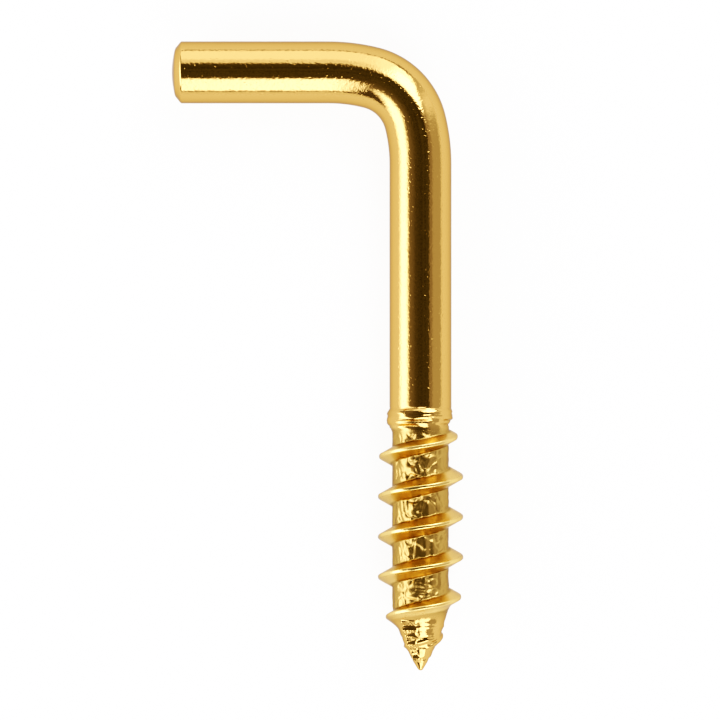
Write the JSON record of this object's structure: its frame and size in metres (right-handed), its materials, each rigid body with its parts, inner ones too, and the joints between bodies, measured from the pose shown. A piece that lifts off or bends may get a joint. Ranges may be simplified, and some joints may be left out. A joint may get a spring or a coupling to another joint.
{
  "type": "l-shaped screw hook",
  "caption": "Square-bend screw hook: round wire with a plain arm, a rounded right-angle bend and a coarse wood thread with a tapered point.",
  "frame": {"origin": "on the shank's axis, in the face of the wood that the thread is screwed into", "axes": "+Y up the shank towards the bend, -X along the arm to its free end, -Y down the thread to the tip, +Z square to the plane of the hook, which lies flat"},
  "size_m": [0.0141, 0.0304, 0.0042],
  "materials": {
    "brass_plate": "bright polished brass plating on steel wire"
  },
  "bodies": {
    "root": {"screw_hook": "brass_plate"}
  },
  "joints": []
}
